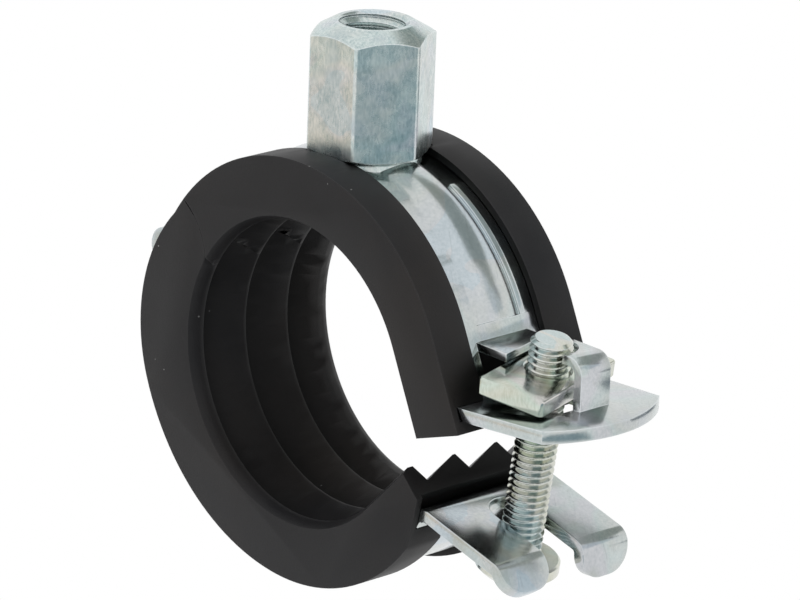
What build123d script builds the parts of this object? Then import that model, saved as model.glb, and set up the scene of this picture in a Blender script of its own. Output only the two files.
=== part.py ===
from build123d import *
from math import acos, asin, cos, degrees, radians, sin, sqrt, tan
import os

# A hinged pipe clamp: two stamped steel half rings with a ribbed rubber lining, an M8 nut welded
# on top to hang it by, and an M5 screw that draws the two halves together.
# Millimetres and degrees. The pipe runs along Y, the closure is on +X, the welded nut on +Z.
# Angles round the ring count from +X towards +Z.

# Steel strip
strip_thickness = 1.5
strip_width = 20.0
strip_inner_radius = 23.0
strip_bend_radius = 0.9

# Upper half's closure: the strip leaves the ring along its tangent, then turns out into the lug
upper_ring_end = 25.0
lug_x = 30.0
lug_top_z = 3.4
lug_rise = 2.75
lug_reach = 42.2
lug_nose_radius = 14.7
lug_yaw = 4.5
lug_yaw_x = 25.0
lug_slot_width = 5.7
lug_slot_start = 25.9
lug_slot_corner = 2.8

# Hook that is lanced out of the lug and folded back over the nut plate
hook_inner_x = 35.75
hook_front_y = -1.0
hook_width = 4.6
hook_thickness = 1.1
hook_height = 6.3
hook_bend_radius = 0.9
hook_free_end_x = 30.9

# Stiffening bead along the upper half, its side rib, and the tab lanced out at its end
bead_half_width = 3.3
bead_height = 0.9
bead_last_angle = 146.0
rib_width = 0.8
rib_height = 0.3
rib_last_angle = 66.0
tab_top_z = 8.7
tab_front_x = 27.9
tab_rear_x = 25.7
tab_thickness = 0.9
tab_half_width = 4.0
tab_window_height = 2.9

# Lower half's fork
fork_x = 30.0
fork_top_z = -12.36
fork_fall = 14.3
fork_crease_x = 33.4
fork_slot_width = 5.5
fork_slot_start = 23.4
fork_tip_bend_radius = 0.4
front_tip_turn = 40.0
rear_tip_turn = 72.0
fork_tip_length = 3.15
fork_tip_radius = 2.9

# Hinge
hinge_angle = 160.0
upper_strip_end = 147.0
lower_strip_end = 166.0
bar_radius = 0.85
hinge_clearance = 0.08
knuckle_gap = 0.4
tongue_width = 8.0
curl_sweep = 270.0
knuckle_relief = 0.15
swing_relief = 0.85

# Rubber lining
liner_width = 21.8
liner_outer_radius = 25.4
liner_lip_width = 5.1
liner_fit = 0.05
ridge_pitch = 6.6
ridge_fall = 1.0
ridge_land = 0.4
ridge_crest_radius = 17.8
ridge_valley_radius = 19.9
rim_land_y = 9.8
rim_land = 0.8
liner_edge_radius = 18.4
seam_radius = 8.3
seam_gap = 0.05
upper_end_x = 21.7
upper_end_z = -1.6
upper_end_rise = 19.0
lower_tail_angle = 316.0
lower_tail_length = 8.55
lower_corner_x = 21.66
lower_corner_z = -9.0
lower_corner_lean = 11.6

# The lower half's lining swells out from the hinge
swell_first_angle = 147.0
swell_rise_angle = 171.0
swell_rise = 1.45
swell_top_angle = 197.0
swell_top = 1.4
swell_fall_angle = 231.0
swell_fall = 0.4
swell_last_angle = 275.0

# Welded M8 nut
nut_across_flats = 13.0
nut_base_z = 25.1
nut_top_z = 40.3
nut_hole_radius = 3.4
nut_countersink_radius = 4.1
nut_turn = 2.0
nut_face_radius = 4.7
nut_chamfer_angle = 30.0
nut_corner_cut = 0.9
weld_ring_radius = 5.6

# M5 closing screw and its nut plate
screw_radius = 2.5
screw_lean = 8.0
screw_x = 30.1
screw_z = 3.4
screw_tip_z = 10.75
screw_length = 27.4
screw_point = 0.45
head_radius = 4.85
head_height = 3.5
head_rim = 1.4
recess_width = 1.1
recess_span = 4.8
recess_depth = 2.0
recess_taper = 10.0
plate_length = 16.2
plate_width = 8.6
plate_thickness = 2.0
plate_turn = 15.0
plate_z = 5.95
plate_corner_radius = 1.0
plate_edge = 0.2
thread_clearance = 0.07
plate_play = 0.35
hook_screw_gap = 0.5

os.makedirs("parts", exist_ok=True)


# Places worked out from the sizes above

strip_outer_radius = strip_inner_radius + strip_thickness
strip_half = strip_width / 2
outer_bend = strip_bend_radius + strip_thickness
liner_half = liner_width / 2
groove_half = strip_half + liner_fit
ring_axis = Axis((0, 0, 0), (0, -1, 0))
# Longer than anything that it has to cut through
far = 2 * liner_outer_radius


def ring_point(radius, angle):
    """A point of the XZ plane at this radius and angle."""
    return Vector(radius * cos(radians(angle)), radius * sin(radians(angle)))


def ring_plane(angle):
    """The plane through the pipe's axis at this angle: its x is the radius, its y is world Y."""
    out = (cos(radians(angle)), 0, sin(radians(angle)))
    return Plane(origin=(0, 0, 0), x_dir=out, z_dir=(-sin(radians(angle)), 0, cos(radians(angle))))


# The curl's inside is one clearance larger than the bar, and it rolls off the strip tangentially
curl_inner_radius = bar_radius + hinge_clearance
curl_outer_radius = curl_inner_radius + strip_thickness
pivot = ring_point(strip_inner_radius + curl_outer_radius, hinge_angle)
knuckle_inner_y = tongue_width / 2 + knuckle_gap
knuckle_sweep = degrees(2 * curl_outer_radius / strip_inner_radius)
seam_sweep = degrees(2 * asin(seam_radius / (2 * liner_outer_radius)))

# Upper half: the length of straight strip that brings the lug to its height
lug_up = ring_point(1, 90 + lug_rise)
lug_bottom = Vector(lug_x, lug_top_z) - lug_up * strip_thickness
run_start = ring_point(strip_inner_radius, upper_ring_end)
run_out = ring_point(1, upper_ring_end)
run_down = ring_point(1, upper_ring_end - 90)
run_offset = (run_start + run_out * outer_bend - lug_up * outer_bend - lug_bottom).dot(lug_up)
run_length = -run_offset / run_down.dot(lug_up)

# Lower half: the angle at which the ring turns out into the fork, and where the fork's top ends
fork_up = ring_point(1, 90 - fork_fall)
fork_out = ring_point(1, -fork_fall)
fork_height = Vector(fork_x, fork_top_z).dot(fork_up)
bend_centre_radius = strip_inner_radius + outer_bend
lower_ring_end = 360 + 90 - fork_fall - degrees(acos((fork_height - outer_bend) / bend_centre_radius))
fork_end = Vector(fork_x, fork_top_z) + fork_out * ((fork_crease_x - fork_x) / fork_out.X)
prong_width = strip_half - fork_slot_width / 2
prong_y = strip_half - prong_width / 2

# Screw axis and the planes on it
screw_up = Vector(sin(radians(screw_lean)), 0, cos(radians(screw_lean)))
screw_side = Vector(cos(radians(screw_lean)), 0, -sin(radians(screw_lean)))


def screw_point_at(z):
    """The point of the screw's axis at this height."""
    return Vector(screw_x, 0, screw_z) + screw_up * ((z - screw_z) / screw_up.Z)


screw_section = Plane(origin=screw_point_at(screw_tip_z), x_dir=screw_side, z_dir=(0, -1, 0))
screw_axis = Axis(screw_point_at(screw_tip_z), screw_up)
plate_plane = Plane(screw_point_at(plate_z), screw_side, screw_up)

# The tab is rooted in the middle of the strip
tab_middle_z = tab_top_z - tab_thickness / 2
tab_root = run_start + run_down * ((tab_middle_z - run_start.Y) / run_down.Y) + run_out * strip_thickness / 2

# The lug is stamped a little askew
lug_plane = Plane(origin=(lug_yaw_x, 0, 0), x_dir=(cos(radians(lug_yaw)), sin(radians(lug_yaw)), 0))
nose_x = lug_reach - lug_nose_radius - lug_yaw_x


def upper_strip(grow):
    """Side view of the upper half's strip, grown all round by this much."""
    with BuildSketch(Plane.XZ) as view:
        with BuildLine():
            ring = CenterArc((0, 0), strip_inner_radius, hinge_angle, upper_ring_end - hinge_angle)
            run = Line(ring @ 1, ring @ 1 + run_down * run_length)
            bend = JernArc(run @ 1, run_down, outer_bend, 90 - upper_ring_end + lug_rise)
            Line(bend @ 1, bend @ 1 + (bend % 1) * ((lug_reach - (bend @ 1).X) / (bend % 1).X))
            offset(amount=strip_thickness, side=Side.LEFT)
        make_face()
        if grow:
            offset(amount=grow)
    return view.sketch


def lower_strip(grow):
    """Side view of the lower half's strip with its curl and fork, grown all round by this much."""
    with BuildSketch(Plane.XZ) as view:
        with BuildLine():
            ring = CenterArc((0, 0), strip_inner_radius, hinge_angle, lower_ring_end - hinge_angle)
            bend = JernArc(ring @ 1, ring % 1, outer_bend, 270 - fork_fall - lower_ring_end)
            Line(bend @ 1, fork_end)
            offset(amount=strip_thickness, side=Side.RIGHT)
        make_face()
        with BuildLine():
            outside = CenterArc(pivot, curl_outer_radius, hinge_angle - 180, curl_sweep)
            inside = CenterArc(pivot, curl_inner_radius, hinge_angle - 180, curl_sweep)
            Line(outside @ 0, inside @ 0)
            Line(outside @ 1, inside @ 1)
        make_face()
        if grow:
            offset(amount=grow)
    return view.sketch


def prong_tip(side, turn):
    """Side view of a prong's tip that is bent down by this much, and the middle of its end."""
    with BuildSketch(Plane.XZ.offset(-side * prong_y)) as view:
        with BuildLine():
            crease = JernArc(fork_end, fork_out, fork_tip_bend_radius + strip_thickness, -turn)
            flat = Line(crease @ 1, crease @ 1 + (crease % 1) * fork_tip_length)
            offset(amount=strip_thickness, side=Side.RIGHT)
        make_face()
    heading = flat % 1
    end = flat @ 1 + Vector(heading.Y, -heading.X) * strip_thickness / 2
    return view.sketch, Vector(end.X, side * prong_y, end.Y)


def liner_section():
    """Cross section of the lining: x is the radius, y is along the pipe. Each rib falls off on +Y."""
    outline = [(liner_edge_radius, -liner_half), (ridge_crest_radius, -rim_land_y)]
    fall_start = rim_land - rim_land_y
    while fall_start + ridge_pitch < rim_land_y + ridge_fall:
        outline += [(ridge_crest_radius, fall_start), (ridge_valley_radius, fall_start + ridge_fall),
                    (ridge_crest_radius, min(fall_start + ridge_pitch - ridge_land, rim_land_y - rim_land))]
        fall_start += ridge_pitch
    lip_y = liner_half - liner_lip_width
    outline += [(ridge_crest_radius, rim_land_y), (liner_edge_radius, liner_half),
                (liner_outer_radius, liner_half), (liner_outer_radius, lip_y), (strip_inner_radius, lip_y),
                (strip_inner_radius, -lip_y), (liner_outer_radius, -lip_y), (liner_outer_radius, -liner_half)]
    with BuildSketch() as section:
        with BuildLine():
            Polyline(*outline, close=True)
        make_face()
    return section.sketch


def swell_view():
    """Side view of what the lower half's lips gain where they swell out from the hinge."""
    with BuildSketch() as view:
        with BuildLine():
            top = ring_point(liner_outer_radius + swell_top, swell_top_angle)
            rise = ThreePointArc(ring_point(liner_outer_radius, swell_first_angle),
                                 ring_point(liner_outer_radius + swell_rise, swell_rise_angle), top)
            fall = ThreePointArc(top, ring_point(liner_outer_radius + swell_fall, swell_fall_angle),
                                 ring_point(liner_outer_radius, swell_last_angle))
            under = CenterArc((0, 0), strip_outer_radius, swell_last_angle, swell_first_angle - swell_last_angle)
            Line(fall @ 1, under @ 0)
            Line(under @ 1, rise @ 0)
        make_face()
    return view.sketch


upper_side_view = upper_strip(0)
upper_groove_view = upper_strip(liner_fit)
lower_side_view = lower_strip(0)
lower_groove_view = lower_strip(liner_fit)
prong_tips = [prong_tip(-1, front_tip_turn), prong_tip(1, rear_tip_turn)]
section = liner_section()
swell = swell_view()

# Upper half ring, stamped from one strip
with BuildPart() as upper_band:
    extrude(upper_side_view, amount=strip_half, both=True)

    # Two knuckles with the hinge bar between them
    with BuildSketch(Plane.XZ):
        with Locations(pivot):
            Circle(curl_outer_radius)
    extrude(amount=strip_half, both=True)
    with BuildSketch(ring_plane(upper_strip_end)):
        with Locations((strip_inner_radius + curl_outer_radius, 0)):
            Rectangle(4 * curl_outer_radius, 2 * knuckle_inner_y)
    revolve(axis=ring_axis, revolution_arc=hinge_angle - upper_strip_end + knuckle_sweep, mode=Mode.SUBTRACT)
    with BuildSketch(Plane.XZ):
        with Locations(pivot):
            Circle(bar_radius)
    extrude(amount=strip_half, both=True)

    # Bead pressed outwards, hollow beneath
    for radius, how in ((strip_outer_radius, Mode.ADD), (strip_inner_radius, Mode.SUBTRACT)):
        with BuildSketch(ring_plane(upper_ring_end)):
            with BuildLine():
                ThreePointArc((radius, -bead_half_width), (radius + bead_height, 0), (radius, bead_half_width))
                Line((radius, bead_half_width), (radius - liner_fit, bead_half_width))
                Line((radius - liner_fit, bead_half_width), (radius - liner_fit, -bead_half_width))
                Line((radius - liner_fit, -bead_half_width), (radius, -bead_half_width))
            make_face()
        revolve(axis=ring_axis, revolution_arc=bead_last_angle - upper_ring_end, mode=how)

    # Narrow rib beside the bead
    with BuildSketch(ring_plane(upper_ring_end)):
        with Locations((strip_outer_radius, bead_half_width + rib_width / 2)):
            Rectangle(2 * rib_height, rib_width)
    revolve(axis=ring_axis, revolution_arc=rib_last_angle - upper_ring_end)

    # Tab lanced out of the strip below the bead, with the window that it leaves
    with BuildSketch(Plane.XY.offset(tab_top_z - tab_thickness)):
        Polygon((tab_root.X, -tab_half_width), (tab_front_x, -tab_half_width),
                (tab_rear_x, tab_half_width), (tab_root.X, tab_half_width), align=None)
    extrude(amount=tab_thickness)
    with BuildSketch(Plane.XY.offset(tab_top_z - tab_thickness - tab_window_height)):
        with Locations((tab_root.X, 0)):
            Rectangle(2 * (tab_front_x - tab_root.X), 2 * tab_half_width)
    extrude(amount=tab_window_height, mode=Mode.SUBTRACT)

    # Lug: round nose, slot for the screw, window of the hook
    with BuildSketch(lug_plane):
        with Locations((nose_x, 0)):
            Rectangle(far, far, align=(Align.MIN, Align.CENTER))
            Circle(lug_nose_radius, mode=Mode.SUBTRACT)
        with Locations((0, -strip_half)):
            Rectangle(far, far, align=(Align.MIN, Align.MAX))
    extrude(amount=2 * lug_top_z, mode=Mode.SUBTRACT)
    with BuildSketch(Plane.XY):
        with BuildLine():
            FilletPolyline((hook_inner_x, lug_slot_width / 2), (lug_slot_start, lug_slot_width / 2),
                           (lug_slot_start, -lug_slot_width / 2), (hook_inner_x, -lug_slot_width / 2),
                           radius=lug_slot_corner)
            Line((hook_inner_x, -lug_slot_width / 2), (hook_inner_x, lug_slot_width / 2))
        make_face()
        with Locations((hook_inner_x, hook_front_y)):
            Rectangle(hook_inner_x - screw_x, hook_width, align=(Align.MAX, Align.MIN))
    extrude(amount=2 * lug_top_z, mode=Mode.SUBTRACT)

    # Hook
    with BuildSketch(Plane.XZ.offset(-hook_front_y - hook_width / 2)):
        with BuildLine():
            hook_outer_x = hook_inner_x + hook_thickness
            hook_turn = hook_bend_radius + hook_thickness
            hook_top_z = lug_top_z + hook_height
            leg = Line((hook_outer_x, lug_top_z - strip_thickness / 2), (hook_outer_x, hook_top_z - hook_turn))
            over = JernArc(leg @ 1, (0, 1), hook_turn, 90)
            Line(over @ 1, (hook_free_end_x, hook_top_z))
            offset(amount=hook_thickness, side=Side.LEFT)
        make_face()
    extrude(amount=hook_width / 2, both=True)
    with BuildSketch(Plane(screw_point_at(lug_top_z + hook_height / 2), x_dir=screw_side, z_dir=screw_up)):
        Circle(screw_radius + hook_screw_gap)
    extrude(amount=hook_height, mode=Mode.SUBTRACT)

# Lower half ring, stamped from one strip
with BuildPart() as lower_band:
    extrude(lower_side_view, amount=strip_half, both=True)

    # Only a tongue reaches up to the curl
    with BuildSketch(ring_plane(lower_strip_end)):
        for side in (-1, 1):
            with Locations((strip_inner_radius + curl_outer_radius, side * (tongue_width / 2 + strip_half) / 2)):
                Rectangle(4 * curl_outer_radius, strip_half - tongue_width / 2)
    revolve(axis=ring_axis, revolution_arc=hinge_angle - lower_strip_end - knuckle_sweep, mode=Mode.SUBTRACT)

    # Open slot between the prongs
    with BuildSketch(Plane.XY.offset(fork_top_z + fork_slot_width)):
        with Locations((fork_slot_start + fork_slot_width / 2, 0)):
            Circle(fork_slot_width / 2)
            Rectangle(far, fork_slot_width, align=(Align.MIN, Align.CENTER))
    extrude(amount=-2 * fork_slot_width, mode=Mode.SUBTRACT)

    # The prongs' tips are bent down and rounded
    for view, end in prong_tips:
        extrude(view, amount=prong_width / 2, both=True)
    for view, end in prong_tips:
        tip_end = lower_band.faces().sort_by_distance(end)[0]
        fillet(tip_end.edges().filter_by(GeomType.LINE).filter_by(Axis.Y, reverse=True), fork_tip_radius)

# Rubber lining of the upper half: ribbed inside, with lips that clasp the strip
with BuildPart() as upper_liner:
    end_plane = ring_plane(upper_ring_end)
    revolve(end_plane.from_local_coords(section), axis=ring_axis, revolution_arc=hinge_angle - upper_ring_end)
    extrude(end_plane.from_local_coords(section), amount=-far / 2)
    extrude(upper_groove_view, amount=groove_half, both=True, mode=Mode.SUBTRACT)
    # The end at the hinge is hollow, and the other half's round end turns in it
    with BuildSketch(Plane.XZ):
        with Locations(pivot):
            Circle(seam_radius + seam_gap)
    extrude(amount=liner_width, both=True, mode=Mode.SUBTRACT)
    # The nut sits between the lips
    with BuildSketch(Plane.XY.offset(nut_base_z - liner_fit)):
        RegularPolygon(nut_across_flats / 2 + liner_fit, 6, major_radius=False, rotation=nut_turn)
    extrude(amount=liner_outer_radius, mode=Mode.SUBTRACT)
    # A corner of the nut plate presses into one lip
    with BuildSketch(plate_plane):
        Rectangle(plate_width + 2 * plate_play, plate_length + 2 * plate_play, rotation=plate_turn)
    extrude(amount=plate_thickness / 2 + plate_play, both=True, mode=Mode.SUBTRACT)
    # The free end is cut square across, rising outwards
    with BuildSketch(Plane.XZ):
        with Locations((upper_end_x, upper_end_z)):
            Rectangle(2 * far, far, rotation=upper_end_rise, align=(Align.CENTER, Align.MAX))
    extrude(amount=liner_width, both=True, mode=Mode.SUBTRACT)

# Rubber lining of the lower half: its end at the hinge is round about the hinge bar
with BuildPart() as lower_liner:
    hinge_plane = ring_plane(hinge_angle)
    revolve(hinge_plane.from_local_coords(section), axis=ring_axis, revolution_arc=-seam_sweep)
    with BuildSketch(Plane.XZ):
        with Locations(pivot):
            Circle(seam_radius)
    extrude(amount=liner_width, both=True, mode=Mode.INTERSECT)
    revolve(hinge_plane.from_local_coords(section), axis=ring_axis,
            revolution_arc=lower_tail_angle - hinge_angle)
    # The free end leaves the ring straight, and its outside is trimmed
    extrude(ring_plane(lower_tail_angle).from_local_coords(section), amount=lower_tail_length)
    with BuildSketch(Plane.XZ):
        Circle(liner_outer_radius)
    extrude(amount=liner_width, both=True, mode=Mode.INTERSECT)
    with BuildSketch(Plane.XZ):
        with Locations((lower_corner_x, lower_corner_z)):
            Rectangle(far, far, rotation=-lower_corner_lean, align=(Align.MIN, Align.CENTER))
    extrude(amount=liner_width, both=True, mode=Mode.SUBTRACT)
    for side in (-1, 1):
        lip_plane = Plane.XZ.offset(side * (liner_half - liner_lip_width / 2))
        extrude(lip_plane.from_local_coords(swell), amount=liner_lip_width / 2, both=True)
    extrude(lower_groove_view, amount=groove_half, both=True, mode=Mode.SUBTRACT)
    # Between the side walls there is room for the knuckles
    with BuildSketch(hinge_plane):
        with Locations((strip_inner_radius - swing_relief, 0)):
            Rectangle(far, 2 * groove_half, align=(Align.MIN, Align.CENTER))
    revolve(axis=ring_axis, revolution_arc=-2 * seam_sweep, mode=Mode.SUBTRACT)
    with BuildSketch(hinge_plane):
        with Locations((strip_inner_radius - swing_relief, 0)):
            Rectangle(far, 2 * groove_half, align=(Align.MIN, Align.CENTER))
    revolve(axis=ring_axis, revolution_arc=lower_strip_end - hinge_angle, mode=Mode.SUBTRACT)
    # Above the fork only the web and the side walls go on
    with BuildSketch(ring_plane(lower_ring_end)):
        with Locations((strip_inner_radius, 0)):
            Rectangle(far, 2 * groove_half, align=(Align.MIN, Align.CENTER))
    revolve(axis=ring_axis, revolution_arc=hinge_angle - seam_sweep + 360 - lower_ring_end - seam_sweep,
            mode=Mode.SUBTRACT)

# Welded nut
with BuildPart() as connection_nut:
    with BuildSketch(Plane.XY.offset(nut_base_z)):
        RegularPolygon(nut_across_flats / 2, 6, major_radius=False, rotation=nut_turn)
    extrude(amount=nut_top_z - nut_base_z)
    # Turned chamfers take the corners off at both ends
    nut_corner_radius = nut_across_flats / sqrt(3)
    nut_hole_depth = nut_top_z - strip_outer_radius - bead_height - liner_fit
    nut_chamfer_drop = (nut_corner_radius - nut_face_radius) * tan(radians(nut_chamfer_angle))
    with BuildSketch(Plane.XZ):
        with BuildLine():
            Polyline((0, nut_base_z), (nut_corner_radius - nut_corner_cut, nut_base_z),
                     (nut_corner_radius, nut_base_z + nut_corner_cut / 2),
                     (nut_corner_radius, nut_top_z - nut_chamfer_drop),
                     (nut_face_radius, nut_top_z), (0, nut_top_z), close=True)
        make_face()
    revolve(axis=Axis.Z, mode=Mode.INTERSECT)
    with BuildSketch(Plane.XY.offset(strip_inner_radius)):
        Circle(weld_ring_radius)
    extrude(amount=nut_base_z - strip_inner_radius)
    # The weld fills the hole just up to the top of the bead
    with Locations((0, 0, nut_top_z)):
        CounterSinkHole(nut_hole_radius, nut_countersink_radius, nut_hole_depth, counter_sink_angle=90)
    # The foot of the nut is seated on the bead
    with BuildSketch(Plane.XZ):
        Circle(strip_outer_radius)
    extrude(amount=strip_width, both=True, mode=Mode.SUBTRACT)
    add(upper_band.part, mode=Mode.SUBTRACT)

# Closing screw: pan head below, chamfered point above
with BuildPart() as closing_screw:
    head_seat = -screw_length
    crown_height = head_height - head_rim
    crown_radius = (head_radius**2 + crown_height**2) / (2 * crown_height)
    with BuildSketch(screw_section):
        with BuildLine():
            rim = Polyline((0, 0), (screw_radius - screw_point, 0), (screw_radius, -screw_point),
                           (screw_radius, head_seat), (head_radius, head_seat), (head_radius, head_seat - head_rim))
            crown = RadiusArc(rim @ 1, (0, head_seat - head_height), crown_radius)
            Line(crown @ 1, (0, 0))
        make_face()
    revolve(axis=screw_axis)
    crown_top = screw_point_at(screw_tip_z) - screw_up * (screw_length + head_height)
    with BuildSketch(Plane(crown_top, screw_side, screw_up)):
        Rectangle(recess_span, recess_width)
        Rectangle(recess_width, recess_span)
    extrude(amount=recess_depth, taper=recess_taper, mode=Mode.SUBTRACT)

# Nut plate that the screw is threaded through
with BuildPart() as nut_plate:
    with BuildSketch(plate_plane):
        RectangleRounded(plate_width, plate_length, plate_corner_radius, rotation=plate_turn)
    extrude(amount=plate_thickness / 2, both=True)
    chamfer(nut_plate.faces().sort_by(screw_axis)[0].edges(), plate_edge)
    chamfer(nut_plate.faces().sort_by(screw_axis)[-1].edges(), plate_edge)
    with BuildSketch(plate_plane):
        Circle(screw_radius + thread_clearance)
    extrude(amount=plate_thickness, both=True, mode=Mode.SUBTRACT)

pieces = {
    "upper_band": upper_band,
    "lower_band": lower_band,
    "upper_liner": upper_liner,
    "lower_liner": lower_liner,
    "connection_nut": connection_nut,
    "closing_screw": closing_screw,
    "nut_plate": nut_plate,
}
for name, piece in pieces.items():
    piece.part.label = name
    export_step(piece.part, f"parts/{name}.step")
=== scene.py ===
import bpy
import math
from mathutils import Matrix, Vector


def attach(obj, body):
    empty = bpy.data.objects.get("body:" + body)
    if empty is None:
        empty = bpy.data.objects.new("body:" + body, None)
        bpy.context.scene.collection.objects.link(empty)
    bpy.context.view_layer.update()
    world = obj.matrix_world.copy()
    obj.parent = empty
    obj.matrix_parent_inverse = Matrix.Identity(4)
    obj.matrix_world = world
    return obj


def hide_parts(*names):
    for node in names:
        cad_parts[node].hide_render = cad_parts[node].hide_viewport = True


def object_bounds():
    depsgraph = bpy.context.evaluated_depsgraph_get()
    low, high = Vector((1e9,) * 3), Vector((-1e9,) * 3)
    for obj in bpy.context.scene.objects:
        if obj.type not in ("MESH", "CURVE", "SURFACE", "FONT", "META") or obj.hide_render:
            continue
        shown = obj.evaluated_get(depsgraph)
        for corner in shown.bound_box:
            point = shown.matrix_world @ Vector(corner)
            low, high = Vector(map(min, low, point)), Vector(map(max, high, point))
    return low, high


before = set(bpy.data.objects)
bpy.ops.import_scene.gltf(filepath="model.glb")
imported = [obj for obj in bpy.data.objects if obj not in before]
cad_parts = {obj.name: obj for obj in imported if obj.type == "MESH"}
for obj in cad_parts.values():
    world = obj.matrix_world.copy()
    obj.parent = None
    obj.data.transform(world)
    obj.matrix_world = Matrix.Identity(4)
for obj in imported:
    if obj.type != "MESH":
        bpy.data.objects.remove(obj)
cadLow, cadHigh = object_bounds()
mm = 0.001
origin = (0.0, 0.0, 0.0)
samePoint = 0.001 * mm     # points nearer than this are merged
onPlane = 0.0001 * mm      # bisect's own 0.1 mm would swallow a fine thread
copySettings = {"mergeWithin": 0.002 * mm, "flatWithin": 0.4}


# working on one piece at a time

def nothingSelected():
    if bpy.context.object and bpy.context.object.mode != "OBJECT":
        bpy.ops.object.mode_set(mode="OBJECT")
    bpy.ops.object.select_all(action="DESELECT")


def pickOnly(piece):
    nothingSelected()
    piece.select_set(True)
    bpy.context.view_layer.objects.active = piece


def selectFaces(piece, wanted):
    pickOnly(piece)
    bpy.ops.object.mode_set(mode="EDIT")
    bpy.ops.mesh.select_mode(type="FACE")
    bpy.ops.mesh.select_all(action="DESELECT")
    bpy.ops.object.mode_set(mode="OBJECT")
    for face in piece.data.polygons:
        face.select = bool(wanted(face))
    bpy.ops.object.mode_set(mode="EDIT")


def selectEdges(piece, wanted):
    pickOnly(piece)
    bpy.ops.object.mode_set(mode="EDIT")
    bpy.ops.mesh.select_mode(type="EDGE")
    bpy.ops.mesh.select_all(action="DESELECT")
    bpy.ops.object.mode_set(mode="OBJECT")
    mesh = piece.data
    for edge in mesh.edges:
        a, b = (mesh.vertices[i].co for i in edge.vertices)
        edge.select = bool(wanted(a, b))
    bpy.ops.object.mode_set(mode="EDIT")


def place(piece, leanDegrees=0.0, turnDegrees=0.0, at=origin):
    # turned about its own axis first, then leaned in the XZ plane, then moved
    # matrix_world is out of date until the update
    bpy.context.view_layer.update()
    piece.matrix_world = (Matrix.Translation(at) @ Matrix.Rotation(math.radians(leanDegrees), 4, "Y")
                          @ Matrix.Rotation(math.radians(turnDegrees), 4, "Z") @ piece.matrix_world)
    pickOnly(piece)
    bpy.ops.object.transform_apply(location=True, rotation=True, scale=True)


def roundEdges(piece, width, segments=2, angle=35.0, keep=None):
    # keep(a, b) is true for edges that stay sharp
    pickOnly(piece)
    if keep:
        bpy.ops.object.mode_set(mode="EDIT")
        bpy.ops.mesh.select_mode(type="EDGE")
        bpy.ops.mesh.select_all(action="DESELECT")
        bpy.ops.mesh.edges_select_sharp(sharpness=math.radians(angle))
        bpy.ops.object.mode_set(mode="OBJECT")
        mesh = piece.data
        sharp = {edge.index for edge in mesh.edges if edge.select
                 and not keep(*(mesh.vertices[i].co for i in edge.vertices))}
        selectEdges(piece, lambda a, b: False)
        bpy.ops.object.mode_set(mode="OBJECT")
        for edge in piece.data.edges:
            edge.select = edge.index in sharp
        bpy.ops.object.mode_set(mode="EDIT")
        bpy.ops.mesh.bevel(offset=width, segments=segments, affect="EDGES", clamp_overlap=True)
        bpy.ops.object.mode_set(mode="OBJECT")
        return
    bevel = piece.modifiers.new("roundEdges", "BEVEL")
    bevel.width = width
    bevel.segments = segments
    bevel.limit_method = "ANGLE"
    bevel.angle_limit = math.radians(angle)
    bpy.ops.object.modifier_apply(modifier=bevel.name)


def cut(piece, tool, how="DIFFERENCE"):
    pickOnly(piece)
    boolean = piece.modifiers.new("cut", "BOOLEAN")
    boolean.operation = how
    boolean.solver = "EXACT"
    boolean.object = tool
    bpy.ops.object.modifier_apply(modifier=boolean.name)
    bpy.data.objects.remove(tool)


def smooth(piece, angle):
    pickOnly(piece)
    bpy.ops.object.shade_smooth_by_angle(angle=math.radians(angle))


def mergedCopy(nodeName, newName):
    piece = bpy.data.objects.new(newName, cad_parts[nodeName].data.copy())
    bpy.context.collection.objects.link(piece)
    pickOnly(piece)
    bpy.ops.object.mode_set(mode="EDIT")
    bpy.ops.mesh.select_all(action="SELECT")
    bpy.ops.mesh.remove_doubles(threshold=copySettings["mergeWithin"])
    bpy.ops.mesh.dissolve_limited(angle_limit=math.radians(copySettings["flatWithin"]))
    bpy.ops.object.mode_set(mode="OBJECT")
    return piece


def lineThrough(name, points):
    # an open line of edges in the XZ plane through (radius, height) pairs
    mesh = bpy.data.meshes.new(name)
    mesh.from_pydata([(r, 0, z) for r, z in points], [(i, i + 1) for i in range(len(points) - 1)], [])
    piece = bpy.data.objects.new(name, mesh)
    bpy.context.collection.objects.link(piece)
    pickOnly(piece)
    return piece


def lathe(name, outline, sides):
    # the outline turned about Z; both of its ends lie on the axis
    piece = lineThrough(name, outline)
    bpy.ops.object.mode_set(mode="EDIT")
    bpy.ops.mesh.select_all(action="SELECT")
    bpy.ops.mesh.spin(steps=sides, angle=math.tau, center=origin, axis=(0, 0, 1))
    bpy.ops.mesh.select_all(action="SELECT")
    bpy.ops.mesh.remove_doubles(threshold=samePoint)
    bpy.ops.mesh.normals_make_consistent(inside=False)
    bpy.ops.object.mode_set(mode="OBJECT")
    return piece


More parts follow.
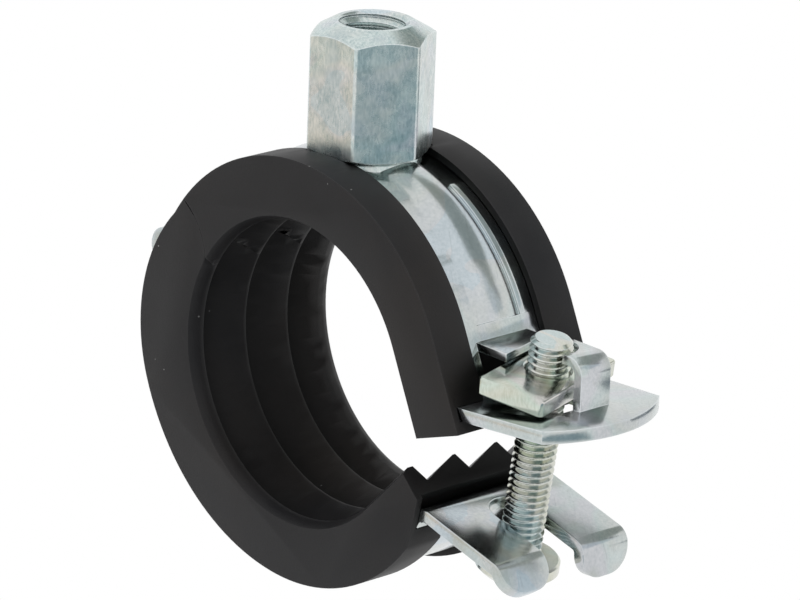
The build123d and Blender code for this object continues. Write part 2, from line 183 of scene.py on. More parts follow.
def threadedRod(name, rootRadius, crestRadius, pitch, low, high, flank=0.42, crest=0.12, steps=40):
    # one pitch of the thread's outline, screwed up the axis, then cut flat at both ends
    start = low - 1.5 * pitch
    turns = math.ceil((high - low) / pitch) + 3
    rise = flank * pitch
    outline = ((rootRadius, 0), (crestRadius, rise), (crestRadius, rise + crest * pitch),
               (rootRadius, 2 * rise + crest * pitch), (rootRadius, pitch))
    rod = lineThrough(name, [(r, start + z) for r, z in outline])
    screw = rod.modifiers.new("thread", "SCREW")
    screw.axis = "Z"
    screw.angle = math.tau
    screw.screw_offset = pitch
    screw.iterations = turns
    screw.steps = steps
    screw.render_steps = steps
    screw.use_merge_vertices = True
    screw.merge_threshold = samePoint
    bpy.ops.object.modifier_apply(modifier=screw.name)
    bpy.ops.object.mode_set(mode="EDIT")
    bpy.ops.mesh.select_all(action="SELECT")
    bpy.ops.mesh.remove_doubles(threshold=samePoint)
    for height, dropBelow in ((low, True), (high, False)):
        bpy.ops.mesh.select_all(action="SELECT")
        bpy.ops.mesh.bisect(plane_co=(0, 0, height), plane_no=(0, 0, 1), use_fill=True, threshold=onPlane,
                            clear_inner=dropBelow, clear_outer=not dropBelow)
    bpy.ops.mesh.select_all(action="SELECT")
    bpy.ops.mesh.normals_make_consistent(inside=False)
    bpy.ops.object.mode_set(mode="OBJECT")
    return rod


# closing screw: M5, threaded up to a pan head with a cross recess

screwSizes = {
    "tip": (31.133 * mm, 0.0, 10.75 * mm), "lean": 8.0, "turn": 0.0,
    "length": 27.4 * mm, "crest": 2.49 * mm, "root": 2.02 * mm, "pitch": 0.8 * mm, "point": 0.5 * mm,
    "headRadius": 4.85 * mm, "headRim": 1.4 * mm, "headHeight": 3.5 * mm, "headEdge": 0.25 * mm,
    "recessWidth": 1.1 * mm, "recessSpan": 4.8 * mm, "recessDepth": 2.0 * mm, "recessTaper": 0.72,
    "recessOver": 0.5 * mm, "overlap": 0.1 * mm, "sides": 64, "crownSteps": 12, "smoothAngle": 28,
}


def panHead(s):
    seat = -s["length"]
    edge = s["headEdge"]
    rimLow = seat - s["headRim"]
    crown = s["headHeight"] - s["headRim"]
    ball = (s["headRadius"] ** 2 + crown ** 2) / (2 * crown)
    outline = [(0, seat + s["pitch"]), (s["root"], seat + s["pitch"]), (s["root"], seat),
               (s["headRadius"] - edge, seat), (s["headRadius"], seat - edge)]
    for i in range(s["crownSteps"]):
        r = s["headRadius"] * (1 - i / s["crownSteps"])
        outline.append((r, rimLow - crown + ball - math.sqrt(ball ** 2 - r ** 2)))
    outline.append((0, rimLow - crown))
    return lathe("screwHead", outline, s["sides"])


def crossRecess(s):
    bottom = -s["length"] - s["headHeight"]
    arms = []
    for width, span in ((s["recessWidth"], s["recessSpan"]), (s["recessSpan"], s["recessWidth"])):
        nothingSelected()
        middle = bottom + s["recessDepth"] / 2 - s["recessOver"] / 2
        bpy.ops.mesh.primitive_cube_add(size=1, location=(0, 0, middle))
        arm = bpy.context.object
        arm.scale = (width, span, s["recessDepth"] + s["recessOver"])
        place(arm)
        selectFaces(arm, lambda face: face.normal.z > 0.9)
        bpy.ops.transform.resize(value=(s["recessTaper"], s["recessTaper"], 1))
        bpy.ops.object.mode_set(mode="OBJECT")
        arms.append(arm)
    cut(arms[0], arms[1], "UNION")
    return arms[0]


def makeScrew(s):
    shank = threadedRod("threadedScrew", s["root"], s["crest"], s["pitch"], -s["length"] - s["overlap"], 0.0)
    reach = s["crest"] + s["overlap"]
    envelope = lathe("point", [(0, 0), (reach - s["point"] - s["overlap"], 0),
                               (reach, -s["point"] - s["overlap"]), (reach, -s["length"] - mm),
                               (0, -s["length"] - mm)], s["sides"])
    cut(shank, envelope, "INTERSECT")
    cut(shank, panHead(s), "UNION")
    cut(shank, crossRecess(s))
    place(shank, s["lean"], s["turn"], s["tip"])
    smooth(shank, s["smoothAngle"])
    return shank


closingScrew = makeScrew(screwSizes)
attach(closingScrew, "screw")
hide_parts("closing_screw")
print("closing screw made", len(closingScrew.data.polygons))


# nut plate: a stamped rectangle with a plain rounded rim

plateSizes = {
    "centre": (30.458 * mm, 0.0, 5.95 * mm), "lean": 8.0, "turn": 15.0,
    "width": 8.6 * mm, "length": 16.2 * mm, "thickness": 2.0 * mm,
    "corner": 0.6 * mm, "edge": 0.22 * mm, "hole": 2.57 * mm, "holeEdge": 0.25 * mm,
    "cornerSegments": 5, "edgeSegments": 3, "edgeAngle": 60, "sides": 64, "smoothAngle": 32,
}


def makePlate(s):
    nothingSelected()
    bpy.ops.mesh.primitive_cube_add(size=1)
    plate = bpy.context.object
    plate.name = "nutPlate"
    plate.scale = (s["width"], s["length"], s["thickness"])
    place(plate)
    selectEdges(plate, lambda a, b: abs(a.z - b.z) > mm)
    bpy.ops.mesh.bevel(offset=s["corner"], segments=s["cornerSegments"])
    bpy.ops.object.mode_set(mode="OBJECT")
    half = s["thickness"] / 2
    roundEdges(plate, s["edge"], s["edgeSegments"], s["edgeAngle"])
    deep = half + mm
    mouth = s["hole"] + s["holeEdge"]
    tool = lathe("plateHole", [(0, deep), (mouth + mm, deep), (mouth, half),
                               (s["hole"], half - s["holeEdge"]), (s["hole"], s["holeEdge"] - half),
                               (mouth, -half), (mouth + mm, -deep), (0, -deep)], s["sides"])
    cut(plate, tool)
    place(plate, s["lean"], s["turn"], s["centre"])
    smooth(plate, s["smoothAngle"])
    return plate


nutPlate = makePlate(plateSizes)
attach(nutPlate, "plate")
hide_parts("nut_plate")
print("nut plate made", len(nutPlate.data.polygons))


# welded nut: M8 hexagon with turned chamfers, threaded all through, on a ring of weld

nutSizes = {
    "flats": 13.0 * mm, "base": 25.1 * mm, "top": 40.3 * mm, "turn": 2.0,
    "cornerRound": 0.28 * mm, "faceRadius": 4.7 * mm, "chamferSlope": math.tan(math.radians(30)),
    "bottomCut": 0.9 * mm,
    "threadRoot": 3.4 * mm, "threadCrest": 4.02 * mm, "pitch": 1.25 * mm, "mouth": 4.15 * mm,
    "weldRadius": 6.1 * mm,    # at 5.5 mm the cut of the mouth fails and leaves it closed
    "weldLow": 24.0 * mm, "weldTaper": 0.15 * mm, "weldStep": 0.6 * mm, "weldWall": 0.5 * mm,
    "firstCorner": 30, "cornerSegments": 4, "overlap": 0.1 * mm,
    "sides": 96, "weldSides": 48, "threadSteps": 64, "smoothAngle": 28,
}


def makeNut(s):
    cornerRadius = s["flats"] / math.sqrt(3)
    nothingSelected()
    bpy.ops.mesh.primitive_cylinder_add(vertices=6, radius=cornerRadius, depth=s["top"] - s["base"],
                                        location=(0, 0, (s["top"] + s["base"]) / 2),
                                        rotation=(0, 0, math.radians(s["firstCorner"] + s["turn"])))
    nut = bpy.context.object
    nut.name = "hexNut"
    place(nut)
    selectEdges(nut, lambda a, b: abs(a.z - b.z) > mm)
    bpy.ops.mesh.bevel(offset=s["cornerRound"], segments=s["cornerSegments"])
    bpy.ops.object.mode_set(mode="OBJECT")
    reach = cornerRadius + s["overlap"]
    drop = (reach - s["faceRadius"]) * s["chamferSlope"]
    envelope = lathe("nutEnds", [(0, s["base"]), (cornerRadius - s["bottomCut"], s["base"]),
                                 (reach, s["base"] + s["bottomCut"] / 2), (reach, s["top"] - drop),
                                 (s["faceRadius"], s["top"]), (0, s["top"])], s["sides"])
    cut(nut, envelope, "INTERSECT")
    weldTop = s["base"] + s["overlap"]
    weld = lathe("weldRing", [(0, s["weldLow"]), (s["weldRadius"], s["weldLow"]),
                              (s["weldRadius"] - s["weldTaper"], s["base"] - s["weldWall"]),
                              (s["weldRadius"] - s["weldStep"], weldTop), (0, weldTop)], s["weldSides"])
    cut(nut, weld, "UNION")
    thread = threadedRod("nutThread", s["threadRoot"], s["threadCrest"], s["pitch"],
                         s["weldLow"] - mm, s["top"] + mm, steps=s["threadSteps"])
    cut(nut, thread)
    depth = s["mouth"] - s["threadRoot"] + s["overlap"]
    mouth = lathe("nutMouth", [(0, s["top"] + mm), (s["mouth"] + mm, s["top"] + mm), (s["mouth"], s["top"]),
                               (s["mouth"] - depth, s["top"] - depth), (0, s["top"] - depth)], s["sides"])
    cut(nut, mouth)
    smooth(nut, s["smoothAngle"])
    return nut


hexNut = makeNut(nutSizes)
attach(hexNut, "root")
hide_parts("connection_nut")
print("welded nut made", len(hexNut.data.polygons))


# the four big pieces are the frame's own shapes with their sharp edges broken

bigPieces = {
    "upperStrip": {"node": "upper_band", "body": "root", "slot": "zinc_strip",
                   "edge": 0.2 * mm, "segments": 2},
    "lowerStrip": {"node": "lower_band", "body": "lower_half", "slot": "zinc_strip",
                   "edge": 0.25 * mm, "segments": 3},
    "upperLining": {"node": "upper_liner", "body": "root", "slot": "lining_rubber",
                    "edge": 0.2 * mm, "segments": 3},
    "lowerLining": {"node": "lower_liner", "body": "lower_half", "slot": "lining_rubber",
                    "edge": 0.2 * mm, "segments": 3},
}
bigSmoothAngle = 32
seam = {"x": -23.896 * mm, "z": 8.698 * mm, "radius": 8.3 * mm, "reach": 0.12 * mm}


def onSeam(a, b):
    # the linings meet in a hairline round the hinge bar, which has no rounding
    away = [math.hypot(p.x - seam["x"], p.z - seam["z"]) - seam["radius"] for p in (a, b)]
    return all(abs(gap) < seam["reach"] for gap in away)


made = {}
for name, s in bigPieces.items():
    piece = mergedCopy(s["node"], name)
    roundEdges(piece, s["edge"], s["segments"], keep=onSeam if "Lining" in name else None)
    smooth(piece, bigSmoothAngle)
    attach(piece, s["body"])
    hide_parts(s["node"])
    made[name] = piece
    print(name, "finished", len(piece.data.polygons))


# shader building blocks

def addNode(tree, kind, links=(), **settings):
    # links are (input, source socket or value); settings are the node's own properties
    node = tree.nodes.new(kind)
    for key, value in settings.items():
        setattr(node, key, value)
    for name, source in links:
        if isinstance(source, bpy.types.NodeSocket):
            tree.links.new(source, node.inputs[name])
        else:
            node.inputs[name].default_value = source
    return node


def ramp(tree, source, stops):
    # a new stop sorts itself in before it is set, so the third one given takes over the second one's stop
    node = addNode(tree, "ShaderNodeValToRGB", [("Fac", source)])
    for i, (at, colour) in enumerate(stops):
        if i > 1:
            node.color_ramp.elements.new(at)
        node.color_ramp.elements[i].position = at
        node.color_ramp.elements[i].color = (*colour, 1)
    return node.outputs["Color"]


def grey(value):
    return (value, value, value)


def mixColours(tree, blend, factor, a, b):
    node = tree.nodes.new("ShaderNodeMix")
    node.data_type = "RGBA"
    node.blend_type = blend
    for index, source in ((0, factor), (6, a), (7, b)):
        if isinstance(source, bpy.types.NodeSocket):
            tree.links.new(source, node.inputs[index])
        else:
            node.inputs[index].default_value = source if index == 0 else (*source[:3], 1)
    return node.outputs[2]


def maths(tree, how, a, b=0.0, clamp=False):
    node = addNode(tree, "ShaderNodeMath", [(0, a), (1, b)], operation=how, use_clamp=clamp)
    return node.outputs[0]


def newGroup(name, inputs, outputs):
    group = bpy.data.node_groups.new(name, "ShaderNodeTree")
    for label, kind, value in inputs:
        socket = group.interface.new_socket(name=label, in_out="INPUT", socket_type=kind)
        if value is not None:
            socket.default_value = value
    for label, kind in outputs:
        group.interface.new_socket(name=label, in_out="OUTPUT", socket_type=kind)
    return group, group.nodes.new("NodeGroupInput"), group.nodes.new("NodeGroupOutput")


floatSocket, vectorSocket, colourSocket = "NodeSocketFloat", "NodeSocketVector", "NodeSocketColor"


def makeMottle():
    # blotches and fine grain of a plated or moulded skin: two masks between 0 and 1
    spread = 2.4   # noise keeps near its middle, so it is spread to fill 0 to 1
    group, given, result = newGroup("mottle", [
        ("Place", vectorSocket, None), ("Blotch Scale", floatSocket, 300.0),
        ("Grain Scale", floatSocket, 4000.0), ("Contrast", floatSocket, 1.0)],
        [("Blotches", floatSocket), ("Grain", floatSocket)])
    for label, scale, detail in (("Blotches", "Blotch Scale", 5.0), ("Grain", "Grain Scale", 3.0)):
        noise = addNode(group, "ShaderNodeTexNoise", [("Vector", given.outputs["Place"]),
                                                      ("Scale", given.outputs[scale]), ("Detail", detail)])
        away = maths(group, "SUBTRACT", noise.outputs["Fac"], 0.5)
        scaled = maths(group, "MULTIPLY", away, given.outputs["Contrast"])
        wide = maths(group, "MULTIPLY", scaled, spread)
        group.links.new(maths(group, "ADD", wide, 0.5, True), result.inputs[label])
    return group


def makePlatingTint():
    # the faint rainbow of zinc plating, as a colour to multiply with
    group, given, result = newGroup("platingTint", [
        ("Place", vectorSocket, None), ("Scale", floatSocket, 90.0), ("Strength", floatSocket, 0.5)],
        [("Tint", colourSocket)])
    noise = addNode(group, "ShaderNodeTexNoise", [("Vector", given.outputs["Place"]),
                                                  ("Scale", given.outputs["Scale"]), ("Detail", 2.5),
                                                  ("Distortion", 0.6)])
    film = ramp(group, noise.outputs["Fac"], [
        (0.30, (0.82, 0.93, 1.0)), (0.70, (0.88, 0.97, 1.0)), (0.42, (1.0, 0.97, 0.98)),
        (0.50, (1.0, 0.97, 0.86)), (0.58, (0.90, 1.0, 0.92)), (0.64, (1.0, 0.93, 0.95))])
    tint = mixColours(group, "MIX", given.outputs["Strength"], (1, 1, 1), film)
    group.links.new(tint, result.inputs["Tint"])
    return group


def makeScratches():
    # thin lines along one way of the piece: turn and stretch the place before it comes in
    group, given, result = newGroup("scratches", [
        ("Place", vectorSocket, None), ("Length", floatSocket, 120.0), ("Fineness", floatSocket, 22.0),
        ("Amount", floatSocket, 0.5)], [("Lines", floatSocket)])
    stretch = addNode(group, "ShaderNodeCombineXYZ", [(0, 1.0), (1, given.outputs["Fineness"]), (2, 1.0)])
    long = addNode(group, "ShaderNodeVectorMath", [(0, given.outputs["Place"]), (1, stretch.outputs[0])],
                   operation="MULTIPLY")
    noise = addNode(group, "ShaderNodeTexNoise", [("Vector", long.outputs[0]),
                                                  ("Scale", given.outputs["Length"]), ("Detail", 1.0)])
    line = ramp(group, noise.outputs["Fac"], [
        (0.0, grey(0)), (1.0, grey(0)), (0.655, grey(0)), (0.675, grey(1)),
        (0.70, grey(0.2)), (0.73, grey(0))])
    shade = maths(group, "MULTIPLY", line, given.outputs["Amount"])
    group.links.new(shade, result.inputs["Lines"])
    return group


def makeSpecks():
    # tiny round spots here and there
    group, given, result = newGroup("specks", [
        ("Place", vectorSocket, None), ("Scale", floatSocket, 700.0), ("Size", floatSocket, 0.16),
        ("Share", floatSocket, 0.25)], [("Spots", floatSocket)])
    cells = addNode(group, "ShaderNodeTexVoronoi", [("Vector", given.outputs["Place"]),
                                                    ("Scale", given.outputs["Scale"])])
    near = maths(group, "LESS_THAN", cells.outputs["Distance"], given.outputs["Size"])
    pick = addNode(group, "ShaderNodeSeparateColor", [("Color", cells.outputs["Color"])])
    chosen = maths(group, "LESS_THAN", pick.outputs[0], given.outputs["Share"])
    group.links.new(maths(group, "MULTIPLY", near, chosen), result.inputs["Spots"])
    return group


def makeEdgeMask():
    # 1 where an edge lies within the reach, 0 on the flats
    group, given, result = newGroup("edgeMask", [("Reach", floatSocket, 0.0004), ("Gain", floatSocket, 3.0)],
                                    [("Edge", floatSocket)])
    rounded = addNode(group, "ShaderNodeBevel", [("Radius", given.outputs["Reach"])], samples=6)
    flat = addNode(group, "ShaderNodeNewGeometry")
    same = addNode(group, "ShaderNodeVectorMath", [(0, rounded.outputs[0]), (1, flat.outputs["Normal"])],
                   operation="DOT_PRODUCT")
    turned = maths(group, "SUBTRACT", 1.0, same.outputs["Value"])
    group.links.new(maths(group, "MULTIPLY", turned, given.outputs["Gain"], True), result.inputs["Edge"])
    return group


mottle, platingTint, scratches = makeMottle(), makePlatingTint(), makeScratches()
specks, edgeMask = makeSpecks(), makeEdgeMask()


def useGroup(tree, group, links):
    return addNode(tree, "ShaderNodeGroup", links, node_tree=group)


def newMaterial(name):
    mat = bpy.data.materials.new(name)
    mat.use_nodes = True
    tree = mat.node_tree
    return mat, tree, tree.nodes["Principled BSDF"]


def turnedPlace(tree, turn=origin, stretch=(1, 1, 1)):
    place = addNode(tree, "ShaderNodeTexCoord").outputs["Object"]
    mapping = addNode(tree, "ShaderNodeMapping", [("Vector", place),
                                                  ("Rotation", [math.radians(a) for a in turn]),
                                                  ("Scale", stretch)])
    return mapping.outputs["Vector"]


# zinc plated steel: strip, drawn hexagon and fasteners differ in colour, grain and shine

# the edge colour and its reach give every edge a brighter rim: partly edge wear, partly painted highlight
zincFinishes = {
    "zincStrip": {
        "light": (0.60, 0.635, 0.655), "dark": (0.50, 0.535, 0.55), "tint": 0.45, "blotch": 170.0,
        "grain": 2600.0, "grainShade": 0.10, "grainTurn": (0, 0, 0), "grainStretch": (1, 1, 1),
        "rough": (0.13, 0.24), "bump": 0.05, "softEdge": 0.06 * mm,
        "wearAndGlint": (0.80, 0.84, 0.86), "wearAndGlintReach": 0.35 * mm,
        "scratchTurn": (20, 35, 50), "scratch": 0.16, "stain": (0.36, 0.40, 0.34)},
    "zincNut": {
        "light": (0.66, 0.70, 0.71), "dark": (0.52, 0.60, 0.63), "tint": 0.5, "blotch": 420.0,
        "grain": 2300.0, "grainShade": 0.34, "grainTurn": (0, 0, 0), "grainStretch": (1.5, 1.5, 0.6),
        "rough": (0.20, 0.32), "bump": 0.20, "softEdge": 0.14 * mm,
        "wearAndGlint": (0.88, 0.92, 0.94), "wearAndGlintReach": 0.30 * mm,
        "scratchTurn": (0, 90, 0), "scratch": 0.10, "stain": (0.42, 0.50, 0.52)},
    "zincFastener": {
        "light": (0.69, 0.71, 0.68), "dark": (0.54, 0.57, 0.53), "tint": 0.8, "blotch": 260.0,
        "grain": 2200.0, "grainShade": 0.14, "grainTurn": (0, 0, 0), "grainStretch": (2.5, 2.5, 0.5),
        "rough": (0.11, 0.22), "bump": 0.06, "softEdge": 0.06 * mm,
        "wearAndGlint": (0.86, 0.88, 0.86), "wearAndGlintReach": 0.25 * mm,
        "scratchTurn": (0, 80, 20), "scratch": 0.14, "stain": (0.30, 0.33, 0.24)},
}
# what all the zinc has in common
zincCommon = {
    "contrast": 1.0, "drawnContrast": 0.9, "finerGrain": 2.7,
    "stainTurn": (40, 10, 70), "stainScale": 140.0, "stainDetail": 6.0,
    "stainFrom": 0.57, "stainFull": 0.72, "stainMost": 0.65, "stainRough": 0.15,
    "scratchColour": (0.20, 0.21, 0.21),
    "drawnHeight": 0.7, "grainHeight": 0.3, "bumpDepth": 0.02 * mm, "softSamples": 8,
}


def makeZinc(name, s, common):
    mat, tree, shader = newMaterial(name)
    place = turnedPlace(tree)
    skin = useGroup(tree, mottle, [("Place", place), ("Blotch Scale", s["blotch"]),
                                   ("Grain Scale", s["grain"]), ("Contrast", common["contrast"])])
    drawn = useGroup(tree, mottle, [("Place", turnedPlace(tree, s["grainTurn"], s["grainStretch"])),
                                    ("Blotch Scale", s["grain"]),
                                    ("Grain Scale", s["grain"] * common["finerGrain"]),
                                    ("Contrast", common["drawnContrast"])])
    tint = useGroup(tree, platingTint, [("Place", place), ("Strength", s["tint"])])
    lines = useGroup(tree, scratches, [("Place", turnedPlace(tree, s["scratchTurn"])),
                                       ("Amount", s["scratch"])])
    edge = useGroup(tree, edgeMask, [("Reach", s["wearAndGlintReach"])])
    base = mixColours(tree, "MIX", skin.outputs["Blotches"], s["dark"], s["light"])
    grained = mixColours(tree, "OVERLAY", s["grainShade"], base, drawn.outputs["Blotches"])
    tinted = mixColours(tree, "MULTIPLY", 1.0, grained, tint.outputs["Tint"])
    stainPlace = turnedPlace(tree, common["stainTurn"])
    stainNoise = addNode(tree, "ShaderNodeTexNoise", [("Vector", stainPlace), ("Scale", common["stainScale"]),
                                                      ("Detail", common["stainDetail"])])
    stainMask = ramp(tree, stainNoise.outputs["Fac"], [(common["stainFrom"], grey(0)),
                                                       (common["stainFull"], grey(common["stainMost"]))])
    stained = mixColours(tree, "MIX", stainMask, tinted, s["stain"])
    scratched = mixColours(tree, "MIX", lines.outputs["Lines"], stained, common["scratchColour"])
    # painted highlight and edge wear: edges take a brighter colour
    wornAndGlinting = mixColours(tree, "MIX", edge.outputs["Edge"], scratched, s["wearAndGlint"])
    tree.links.new(wornAndGlinting, shader.inputs["Base Color"])
    shader.inputs["Metallic"].default_value = 1.0
    low, high = s["rough"]
    uneven = maths(tree, "MULTIPLY", skin.outputs["Blotches"], high - low)
    rough = maths(tree, "ADD", uneven, low)
    rougher = maths(tree, "ADD", rough, maths(tree, "MULTIPLY", stainMask, common["stainRough"]), True)
    tree.links.new(rougher, shader.inputs["Roughness"])
    height = maths(tree, "ADD", maths(tree, "MULTIPLY", drawn.outputs["Blotches"], common["drawnHeight"]),
                   maths(tree, "MULTIPLY", skin.outputs["Grain"], common["grainHeight"]))
    soft = addNode(tree, "ShaderNodeBevel", [("Radius", s["softEdge"])], samples=common["softSamples"])
    bump = addNode(tree, "ShaderNodeBump", [("Height", height), ("Strength", s["bump"]),
                                            ("Distance", common["bumpDepth"]),
                                            ("Normal", soft.outputs["Normal"])])
    tree.links.new(bump.outputs["Normal"], shader.inputs["Normal"])
    return mat


zincs = {name: makeZinc(name, s, zincCommon) for name, s in zincFinishes.items()}


# rubber: near black, with painted shade darkening it in the hollow of the ring, and lighter along its edges


rubberFinish = {
    "dark": (0.0060, 0.0060, 0.0070), "light": (0.0125, 0.0120, 0.0128), "blotch": 120.0, "grain": 5200.0,
    "contrast": 0.9, "rough": (0.42, 0.58), "shine": 0.24, "bump": 0.22, "bumpDepth": 0.03 * mm,
    "warm": (0.015, 0.0122, 0.0105), "warmScale": 45.0, "warmDetail": 3.0,
    "warmFrom": 0.45, "warmFull": 0.75, "warmMost": 0.8,
    "paleEdge": (0.030, 0.030, 0.031), "paleEdgeReach": 0.4 * mm, "paleEdgeGain": 1.6,
    "speck": (0.16, 0.16, 0.16), "speckScale": 620.0, "speckSize": 0.06, "speckShare": 0.12,
    # deep is the near-black colour of the painted shade in the hollow of the ring; the next keys set how far
    # it reaches and where it is full or gone
    "deep": (0.0012, 0.0010, 0.0009), "shadeReach": 16 * mm, "shadeFullAt": 0.50, "shadeNoneAt": 0.92,
    "shadeSamples": 6,
}


def makeRubber(s):
    mat, tree, shader = newMaterial("liningRubber")
    place = turnedPlace(tree)
    skin = useGroup(tree, mottle, [("Place", place), ("Blotch Scale", s["blotch"]),
                                   ("Grain Scale", s["grain"]), ("Contrast", s["contrast"])])
    base = mixColours(tree, "MIX", skin.outputs["Blotches"], s["dark"], s["light"])
    warmNoise = addNode(tree, "ShaderNodeTexNoise", [("Vector", place), ("Scale", s["warmScale"]),
                                                     ("Detail", s["warmDetail"])])
    warmMask = ramp(tree, warmNoise.outputs["Fac"], [(s["warmFrom"], grey(0)),
                                                     (s["warmFull"], grey(s["warmMost"]))])
    warmed = mixColours(tree, "MIX", warmMask, base, s["warm"])
    edge = useGroup(tree, edgeMask, [("Reach", s["paleEdgeReach"]), ("Gain", s["paleEdgeGain"])])
    # the rubber's colour is made lighter along its edges
    paleEdged = mixColours(tree, "MIX", edge.outputs["Edge"], warmed, s["paleEdge"])
    spots = useGroup(tree, specks, [("Place", place), ("Scale", s["speckScale"]), ("Size", s["speckSize"]),
                                    ("Share", s["speckShare"])])
    specked = mixColours(tree, "MIX", spots.outputs["Spots"], paleEdged, s["speck"])
    # painted shade: ambient occlusion darkens the rubber's colour towards the deep colour in the hollow of
    # the ring
    hollow = addNode(tree, "ShaderNodeAmbientOcclusion", [("Distance", s["shadeReach"])],
                     samples=s["shadeSamples"])
    clear = ramp(tree, hollow.outputs["AO"], [(s["shadeFullAt"], grey(0)), (s["shadeNoneAt"], grey(1))])
    shadePainted = mixColours(tree, "MIX", clear, s["deep"], specked)
    tree.links.new(shadePainted, shader.inputs["Base Color"])
    shader.inputs["Specular IOR Level"].default_value = s["shine"]
    low, high = s["rough"]
    rough = maths(tree, "ADD", maths(tree, "MULTIPLY", skin.outputs["Blotches"], high - low), low)
    tree.links.new(rough, shader.inputs["Roughness"])
    bump = addNode(tree, "ShaderNodeBump", [("Height", skin.outputs["Grain"]), ("Strength", s["bump"]),
                                            ("Distance", s["bumpDepth"])])
    tree.links.new(bump.outputs["Normal"], shader.inputs["Normal"])
    return mat


rubber = makeRubber(rubberFinish)
wearing = ((closingScrew, zincs["zincFastener"]), (nutPlate, zincs["zincFastener"]),
           (hexNut, zincs["zincNut"]),
           (made["upperStrip"], zincs["zincStrip"]), (made["lowerStrip"], zincs["zincStrip"]),
           (made["upperLining"], rubber), (made["lowerLining"], rubber))
for piece, mat in wearing:
    piece.data.materials.clear()
    piece.data.materials.append(mat)
print("finishes given")


# floor, sky, lamps and camera

stageSizes = {
    "azimuth": 46.59, "elevation": 18.63, "roll": 2.22,   # degrees
    "distance": 0.600, "focalPixels": 5160.0, "frameWidth": 800.0, "sensorWidth": 36.0,
    "slideRight": 4.43 * mm, "slideUp": 6.31 * mm,
    "floorDrop": 45 * mm, "floorSize": 4.0, "floorColour": (0.92, 0.92, 0.92), "floorRough": 0.9,
    "skyLight": 0.60,
}


def makeCamera(s):
    az, el, roll = (math.radians(s[k]) for k in ("azimuth", "elevation", "roll"))
    back = Vector((math.sin(az) * math.cos(el), -math.cos(az) * math.cos(el), math.sin(el)))
    level = (-back).cross(Vector((0, 0, 1))).normalized()
    rise = level.cross(-back)
    right = level * math.cos(roll) + rise * math.sin(roll)
    up = rise * math.cos(roll) - level * math.sin(roll)
    data = bpy.data.cameras.new("viewCamera")
    data.sensor_width = s["sensorWidth"]
    data.lens = s["focalPixels"] / s["frameWidth"] * data.sensor_width
    camera = bpy.data.objects.new("viewCamera", data)
    bpy.context.collection.objects.link(camera)
    turn = Matrix((right, up, back)).transposed()
    camera.matrix_world = Matrix.Translation(
        back * s["distance"] + right * s["slideRight"] + up * s["slideUp"]) @ turn.to_4x4()
    bpy.context.scene.camera = camera


def seenOrMirrored(tree):
    # 1 for what the camera sees straight, in a mirror or through glass
    path = addNode(tree, "ShaderNodeLightPath")
    both = maths(tree, "MAXIMUM", path.outputs["Is Camera Ray"], path.outputs["Is Glossy Ray"])
    return maths(tree, "MAXIMUM", both, path.outputs["Is Transmission Ray"])


def makeSky(s):
    world = bpy.data.worlds.new("softSky")
    bpy.context.scene.world = world
    world.use_nodes = True
    tree = world.node_tree
    background = tree.nodes["Background"]
    background.inputs["Color"].default_value = (1, 1, 1, 1)
    level = addNode(tree, "ShaderNodeMapRange", [("Value", seenOrMirrored(tree)), ("To Min", s["skyLight"]),
                                                 ("To Max", 1.0)])
    tree.links.new(level.outputs[0], background.inputs["Strength"])


def makeFloor(s):
    # plain white to the camera and in mirrors, so no shadow shows on it
    nothingSelected()
    bpy.ops.mesh.primitive_plane_add(size=s["floorSize"], location=(0, 0, cadLow[2] - s["floorDrop"]))
    floor = bpy.context.object
    floor.name = "paleFloor"
    mat, tree, shader = newMaterial("paleFloor")
    shader.inputs["Base Color"].default_value = (*s["floorColour"], 1)
    shader.inputs["Roughness"].default_value = s["floorRough"]
    glow = addNode(tree, "ShaderNodeEmission", [("Color", (1, 1, 1, 1)), ("Strength", 1.0)])
    blend = addNode(tree, "ShaderNodeMixShader", [("Fac", seenOrMirrored(tree)), (1, shader.outputs[0]),
                                                  (2, glow.outputs[0])])
    tree.links.new(blend.outputs[0], tree.nodes["Material Output"].inputs["Surface"])
    floor.data.materials.append(mat)


def aim(thing, at, target):
    turn = (Vector(at) - Vector(target)).to_track_quat("Z", "Y")
    thing.matrix_world = Matrix.Translation(at) @ turn.to_matrix().to_4x4()


# lamps: where they stand, metres across, watts, colour
lamps = {
    "leftWindow": ((-0.35, -0.60, 0.35), 0.40, 2.6, (1.0, 0.99, 0.97)),
    "overhead": ((0.15, 0.05, 0.75), 0.50, 3.0, (0.97, 0.99, 1.0)),
    "rightWindow": ((0.65, -0.10, 0.30), 0.30, 1.6, (0.96, 0.98, 1.0)),
}
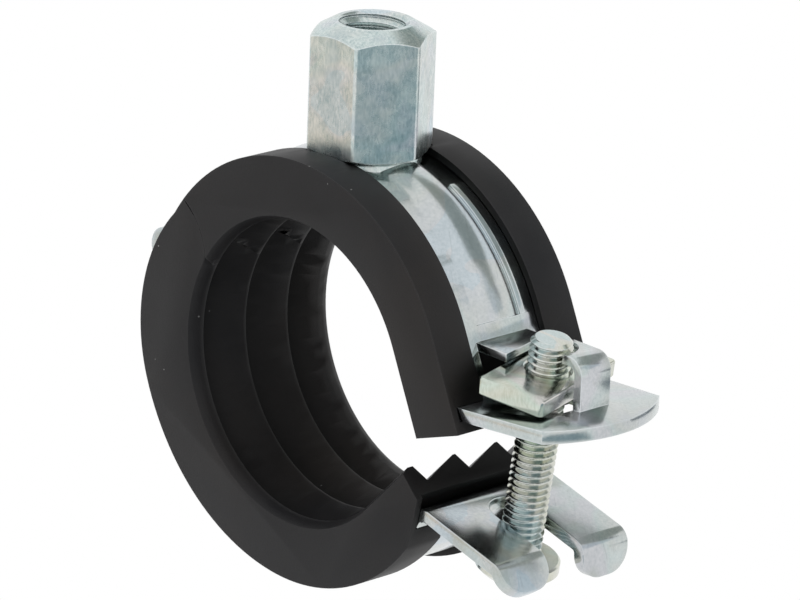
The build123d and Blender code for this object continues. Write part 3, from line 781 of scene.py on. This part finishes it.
# cards that show in reflections alone, so that the metal has something to mirror:
# middle, width, height, colour, lying flat or not
cards = {
    "blueGreyMat": ((0.33, -0.075, -0.067), 0.38, 0.21, (0.27, 0.37, 0.41), True),
    "creamMat": ((-0.28, -0.30, -0.067), 0.30, 0.30, (0.86, 0.77, 0.68), True),
    "greySky": ((0.09, 0.40, 0.44), 0.62, 0.34, (0.36, 0.39, 0.37), False),
    "paleSky": ((0.50, 0.42, 0.36), 0.30, 0.30, (0.66, 0.72, 0.76), False),
    "darkSlit": ((0.30, 0.42, 0.40), 0.05, 0.36, (0.10, 0.11, 0.13), False),
    "frontCard": ((0.42, -0.62, 0.10), 0.34, 0.60, (0.55, 0.59, 0.61), False),
    "frontSlit": ((0.40, -0.58, 0.10), 0.05, 0.60, (1.0, 1.0, 1.0), False),
    "darkFloorMat": ((0.14, 0.34, -0.067), 0.30, 0.16, (0.20, 0.23, 0.26), True),
}


def makeLamps():
    for name, (at, size, power, colour) in lamps.items():
        data = bpy.data.lights.new(name, "AREA")
        data.size = size
        data.energy = power
        data.color = colour
        lamp = bpy.data.objects.new(name, data)
        bpy.context.collection.objects.link(lamp)
        aim(lamp, at, origin)
        lamp.visible_camera = False
        lamp.visible_glossy = False


def makeCards():
    for name, (at, width, height, colour, flat) in cards.items():
        nothingSelected()
        bpy.ops.mesh.primitive_plane_add(size=1)
        card = bpy.context.object
        card.name = name
        card.scale = (width, height, 1)
        bpy.ops.object.transform_apply(scale=True)
        if flat:
            card.location = at
        else:
            aim(card, at, origin)
        mat, tree, shader = newMaterial(name)
        glow = addNode(tree, "ShaderNodeEmission", [("Color", (*colour, 1)), ("Strength", 1.0)])
        tree.links.new(glow.outputs[0], tree.nodes["Material Output"].inputs["Surface"])
        card.data.materials.append(mat)
        card.visible_camera = False
        card.visible_shadow = False
        card.visible_diffuse = False


makeCamera(stageSizes)
makeSky(stageSizes)
makeFloor(stageSizes)
makeLamps()
makeCards()
bpy.context.scene.view_settings.view_transform = "Standard"
print("stage set")
